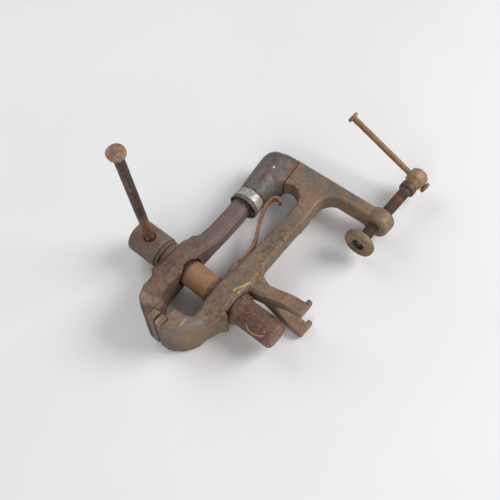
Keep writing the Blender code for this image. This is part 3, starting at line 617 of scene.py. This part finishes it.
def lathe(name, profile, start, direction, sides, step, rounds, offset=None, unevenness=0.0):
    """A turned solid about a line, from (radius, distance along) points.

    The profile starts and ends on the axis, or on one point away from it, which makes a ring.
    offset(distance, angle) is added to the radius, for threads and facets. Lengths are in
    millimetres, start is in metres in the shared frame.
    """
    is_ring = profile[0] == profile[-1]
    turn = Vector(direction).to_track_quat("Z", "Y").to_matrix().to_4x4()
    to_axis = Matrix.Translation(start) @ turn
    bm = bmesh.new()
    rings = []
    for radius, distance in resample(profile, step, rounds):
        ring = []
        for k in range(sides if radius > 0.05 else 1):
            angle = 2 * math.pi * k / sides
            spread = radius + (offset(distance, angle) if offset and radius > 1 else 0.0)
            local = Vector((spread * math.cos(angle), spread * math.sin(angle), distance))
            point = to_axis @ (local * MM)
            if unevenness:
                out = point - to_axis @ Vector((0, 0, distance * MM))
                if out.length > 0:
                    point += out.normalized() * noise.noise(point * DENTS_PER_METRE) * unevenness * MM
            ring.append(bm.verts.new(point))
        rings.append(ring)
    if is_ring:
        bmesh.ops.delete(bm, geom=rings[-1], context="VERTS")
        rings[-1] = rings[0]
    for ring, following in zip(rings, rings[1:]):
        for k in range(sides):
            j = (k + 1) % sides
            if len(ring) == 1 and len(following) > 1:
                bm.faces.new((ring[0], following[j], following[k]))
            elif len(ring) > 1 and len(following) == 1:
                bm.faces.new((ring[k], ring[j], following[0]))
            elif len(ring) > 1:
                bm.faces.new((ring[k], ring[j], following[j], following[k]))
    bmesh.ops.recalc_face_normals(bm, faces=bm.faces)
    mesh = bpy.data.meshes.new(name)
    bm.to_mesh(mesh)
    bm.free()
    mesh.shade_smooth()
    thing = bpy.data.objects.new(name, mesh)
    bpy.context.scene.collection.objects.link(thing)
    return thing


def carve(thing, cutter):
    """Cuts one solid out of another for good, and removes the cutter."""
    cut = thing.modifiers.new("carve", "BOOLEAN")
    cut.operation = "DIFFERENCE"
    cut.object = cutter
    cut.solver = "EXACT"
    evaluated = thing.evaluated_get(bpy.context.evaluated_depsgraph_get())
    mesh = bpy.data.meshes.new_from_object(evaluated)
    thing.modifiers.clear()
    thing.data = mesh
    mesh.shade_smooth()
    mesh.set_sharp_from_angle(angle=SHARP_ANGLE)
    bpy.data.objects.remove(cutter, do_unlink=True)


def finish_piece(thing, body, slot, *nodes):
    """Gives a new piece its material and puts it on its body in place of the nodes."""
    thing.data.materials.clear()
    thing.data.materials.append(materials[slot])
    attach(thing, body)
    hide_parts(*nodes)


def thread_shape(ends, pitch, depth, flat):
    """Radius change of a thread that runs out at both ends.

    flat is the share of the pitch that the crest takes, and the root too.
    """
    low, high = ends

    def offset(distance, angle):
        if not low < distance < high:
            return 0.0
        wave = abs(((distance / pitch - angle / (2 * math.pi)) % 1.0) - 0.5) * 2
        groove = min(1.0, max(0.0, (wave - flat) / (1 - 2 * flat)))
        fade = min(1.0, (distance - low) / pitch, (high - distance) / pitch)
        return -depth * groove * fade
    return offset


# ---------------------------------------------------------------- forged and cast pieces

refine("fixed_frame", "forged_frame", voxel=0.7, rounds=5)
refine("moving_jaw", "forged_jaw", voxel=0.7, rounds=5)
refine("leg_socket", "socket_iron", voxel=0.6, rounds=16, heave=0.3, pit=0.06)
refine("screw_box", "maroon_box", voxel=0.7, rounds=4, heave=0.2, pit=0.05)
refine("box_end_cap", "maroon_box", voxel=0.6, rounds=3, heave=0.2, pit=0.05)
refine("nut_thread", "brazed_thread", voxel=0.8, rounds=1, heave=0.0, pit=0.0)
for node in ("fixed_jaw_plate", "moving_jaw_plate"):
    plate = refine(node, "jaw_plate_steel", voxel=0.45, rounds=2, heave=0.1, pit=0.06)
    swell = plate.modifiers.new("brazed in", "DISPLACE")
    swell.mid_level = 0.0
    swell.strength = FACING_SWELL * MM
refine("leaf_spring", "rusted_spring", voxel=0.45, rounds=3, heave=0.25, heave_size=10, pit=0.1)
refine("spring_rivet", "rusted_spring", voxel=0.35, rounds=3, heave=0.2, heave_size=5, pit=0.1)
refine("socket_collar", "zinc_collar", voxel=0.45, rounds=4, heave=0.3, heave_size=10, pit=0.08)
refine("socket_bush", "forged_jaw", voxel=0.4, rounds=4, heave=0.25, heave_size=10, pit=0.08)
refine("thrust_washer", "forged_jaw", voxel=0.45, rounds=4, heave=0.2, heave_size=10, pit=0.08)
for node in ("hinge_pin", "tail_pin"):
    refine(node, "socket_iron", voxel=0.4, rounds=1, heave=0.0, pit=0.0)

# ---------------------------------------------------------------- main screw and handle

head_low, head_high = HEAD_ENDS
main_screw = lathe("main_screw_turned", [
    (0, head_low), (15, head_low + 0.6), (HEAD_RADIUS - 1.5, head_low + 1.8), (HEAD_RADIUS, head_low + 3.6),
    (HEAD_RADIUS, head_high - 1.6), (HEAD_RADIUS - 1.2, head_high), (SCREW_RADIUS, head_high),
    (SCREW_RADIUS, SCREW_TIP - 2), (SCREW_RADIUS - 2, SCREW_TIP), (0, SCREW_TIP)],
    place(0, 0, MID), (1, 0, 0), sides=96, step=0.45, rounds=3, unevenness=0.25,
    offset=thread_shape(SCREW_THREAD_ENDS, SCREW_PITCH, SCREW_THREAD_DEPTH, 0.22))
handle_way = Vector((0, -math.sin(HANDLE_LEAN), math.cos(HANDLE_LEAN)))
handle_start = place(HANDLE_X, 0, MID)
hole = lathe("handle_hole", [
    (0, -30), (HANDLE_HOLE + 2.5, -30), (HANDLE_HOLE + 1.5, -21), (HANDLE_HOLE, -19),
    (HANDLE_HOLE, 19), (HANDLE_HOLE + 1.5, 21), (HANDLE_HOLE + 2.5, 30), (0, 30)],
    handle_start, handle_way, sides=48, step=1.5, rounds=1)
carve(main_screw, hole)
finish_piece(main_screw, "screw", "screw_iron", "main_screw")

bar = lathe("handle_bar_forged", [
    (0, HANDLE_BOTTOM - 1), (5, HANDLE_BOTTOM - 1), (HANDLE_RADIUS, HANDLE_BOTTOM), (HANDLE_RADIUS, 90),
    (HANDLE_RADIUS, HANDLE_TOP + 0.5), (5, HANDLE_TOP + 1.5), (0, HANDLE_TOP + 1.5)],
    handle_start, handle_way, sides=48, step=1.2, rounds=1, unevenness=0.25)
finish_piece(bar, "handle", "handle_iron", "handle_bar")
for name, inner, way in (("handle_knob_upper", HANDLE_TOP, 1), ("handle_knob_lower", HANDLE_BOTTOM, -1)):
    outline = [(0, 0), (6.2, 0), (8.6, 0.2), (10.6, 1.6), (KNOB_RADIUS, 3.4), (KNOB_RADIUS, 5.4),
               (10.2, 7.2), (8.2, 8.0), (4.6, 8.1), (3.6, 8.5), (0, 8.6)]
    knob = lathe(f"{name}_forged", [(radius, inner + height * way) for radius, height in outline],
                 handle_start, handle_way, sides=64, step=0.5, rounds=3, unevenness=0.7)
    finish_piece(knob, "handle", "knob_iron", name)

# ---------------------------------------------------------------- bench clamp

clamp_start = place(CLAMP_X, 0, MID)
clamp_thread = thread_shape(CLAMP_THREAD_ENDS, CLAMP_PITCH, CLAMP_THREAD_DEPTH, 0.18)


def clamp_offset(distance, angle):
    """The thread, and beyond it the worn flats of the head."""
    if distance > CLAMP_HEAD_START:
        rise = min(1.0, (distance - CLAMP_HEAD_START) / 3)
        return 0.35 * math.cos(CLAMP_HEAD_FLATS * angle) * rise - 0.35
    return clamp_thread(distance, angle)


clamp_screw = lathe("clamp_screw_turned", [
    (0, 164), (3.5, 164.2), (4.2, 165.2), (4.2, 171.9), (6.4, 172.2), (CLAMP_RADIUS, 173.4),
    (CLAMP_RADIUS, 268), (8, 269.2), (10.4, 270), (11.2, 271.2), (11.1, 278.2), (10.6, 279.2), (10, 284.6),
    (10.2, 286.4), (12.6, 288.2), (13.2, 293), (13.1, 301.8), (11.4, 304.8), (6.8, 306.2), (0, 306.6)],
    clamp_start, (0, 1, 0), sides=64, step=0.25, rounds=3, offset=clamp_offset, unevenness=0.3)
bar_way = Vector((-math.sin(CLAMP_BAR_LEAN), 0, math.cos(CLAMP_BAR_LEAN)))
bar_start = place(CLAMP_X, CLAMP_BAR_Y, MID)
hole = lathe("clamp_bar_hole", [
    (0, -20), (5.8, -20), (5.2, -12.6), (CLAMP_BAR_HOLE, -11.6),
    (CLAMP_BAR_HOLE, 11.6), (5.2, 12.6), (5.8, 20), (0, 20)],
    bar_start, bar_way, sides=32, step=1.0, rounds=1)
carve(clamp_screw, hole)
finish_piece(clamp_screw, "bench_screw", "clamp_iron", "clamp_screw")
small_bar = lathe("clamp_bar_forged", [
    (0, CLAMP_BAR_BOTTOM - 1), (3, CLAMP_BAR_BOTTOM - 1), (CLAMP_BAR_RADIUS, CLAMP_BAR_BOTTOM),
    (CLAMP_BAR_RADIUS, CLAMP_BAR_TOP + 0.5), (3, CLAMP_BAR_TOP + 1), (0, CLAMP_BAR_TOP + 1)],
    bar_start, bar_way, sides=32, step=1.0, rounds=1, unevenness=0.35)
finish_piece(small_bar, "bench_screw_bar", "ochre_bar", "clamp_bar")
for name, inner, way in (("clamp_bar_head_upper", CLAMP_BAR_TOP, 1),
                         ("clamp_bar_head_lower", CLAMP_BAR_BOTTOM, -1)):
    outline = [(0, 0), (4.0, 0), (CLAMP_BAR_HEAD - 0.6, 0.3), (CLAMP_BAR_HEAD, 1.2), (CLAMP_BAR_HEAD, 3.8),
               (CLAMP_BAR_HEAD - 1.0, 4.8), (0, 5)]
    head = lathe(f"{name}_peened", [(radius, inner + height * way) for radius, height in outline],
                 bar_start, bar_way, sides=40, step=0.4, rounds=2, unevenness=0.6)
    finish_piece(head, "bench_screw_bar", "ochre_bar", name)
pad = lathe("clamp_pad_dished", [
    (PAD_BORE, PAD_BACK), (13, 171.4), (PAD_RADIUS - 2.2, 170.6), (PAD_RADIUS, 168.4), (PAD_RADIUS, 164.2),
    (PAD_RADIUS - 1.2, PAD_FACE + 0.3), (PAD_RADIUS - 3, PAD_FACE), (9.2, PAD_FACE + 0.1),
    (8.2, PAD_FACE + 0.6), (7.0, 163.6), (PAD_BORE, 164.2), (PAD_BORE, PAD_BACK)],
    clamp_start, (0, 1, 0), sides=96, step=0.4, rounds=2, unevenness=0.6)
finish_piece(pad, "pad", "pad_iron", "clamp_pad")

# ---------------------------------------------------------------- floor, light and camera

floor_mesh = bpy.data.meshes.new("floor")
floor_mesh.from_pydata([(-HALF_FLOOR, -HALF_FLOOR, 0), (HALF_FLOOR, -HALF_FLOOR, 0),
                        (HALF_FLOOR, HALF_FLOOR, 0), (-HALF_FLOOR, HALF_FLOOR, 0)], [], [(0, 1, 2, 3)])
floor = bpy.data.objects.new("floor", floor_mesh)
bpy.context.scene.collection.objects.link(floor)
floor_paint = Paint("pale_floor")
shade = floor_paint.ramp(floor_paint.noise(2.2, 3, 0.5), [(0.3, (0.77, 0.765, 0.78, 1)),
                                                          (0.7, (0.82, 0.815, 0.825, 1))])
floor_paint.feed(floor_paint.shader.inputs["Base Color"], shade)
floor_paint.shader.inputs["Roughness"].default_value = 0.55
floor_mesh.materials.append(floor_paint.material)

world = bpy.data.worlds.new("studio")
bpy.context.scene.world = world
world.use_nodes = True
background = world.node_tree.nodes["Background"]
background.inputs["Color"].default_value = WORLD_COLOUR
background.inputs["Strength"].default_value = WORLD_STRENGTH


def area_light(name, position, size, power, colour):
    """A soft round light aimed at the origin, in metres and watts."""
    data = bpy.data.lights.new(name, "AREA")
    data.shape = "DISK"
    data.size = size
    data.energy = power
    data.color = colour
    lamp = bpy.data.objects.new(name, data)
    lamp.location = position
    lamp.rotation_euler = (-Vector(position)).to_track_quat("-Z", "Y").to_euler()
    bpy.context.scene.collection.objects.link(lamp)


area_light("key", (1.4, 1.5, 1.6), 1.6, 54, (1.0, 0.985, 0.965))
area_light("front", (0.8, -1.5, 1.3), 1.4, 14, (1.0, 0.99, 0.97))
area_light("left", (-1.6, 0.1, 1.4), 1.4, 13, (0.98, 0.99, 1.0))

forward = Vector((-math.sin(AZIMUTH) * math.cos(DOWN), math.cos(AZIMUTH) * math.cos(DOWN), -math.sin(DOWN)))
level = Vector((math.cos(AZIMUTH), math.sin(AZIMUTH), 0))
above = level.cross(forward)
right = math.cos(ROLL) * level + math.sin(ROLL) * above
up = math.cos(ROLL) * above - math.sin(ROLL) * level
eye = place(*EYE)
camera_data = bpy.data.cameras.new("camera")
camera_data.sensor_width = SENSOR_WIDTH
camera_data.lens = FOCAL_LENGTH / PICTURE_WIDTH * SENSOR_WIDTH
camera_data.shift_y = SHIFT_Y
camera_data.clip_end = FAR_CLIP
camera = bpy.data.objects.new("camera", camera_data)
camera.matrix_world = Matrix(((right.x, up.x, -forward.x, eye.x), (right.y, up.y, -forward.y, eye.y),
                              (right.z, up.z, -forward.z, eye.z), (0, 0, 0, 1)))
bpy.context.scene.collection.objects.link(camera)
bpy.context.scene.camera = camera
bpy.context.scene.view_settings.view_transform = "Standard"
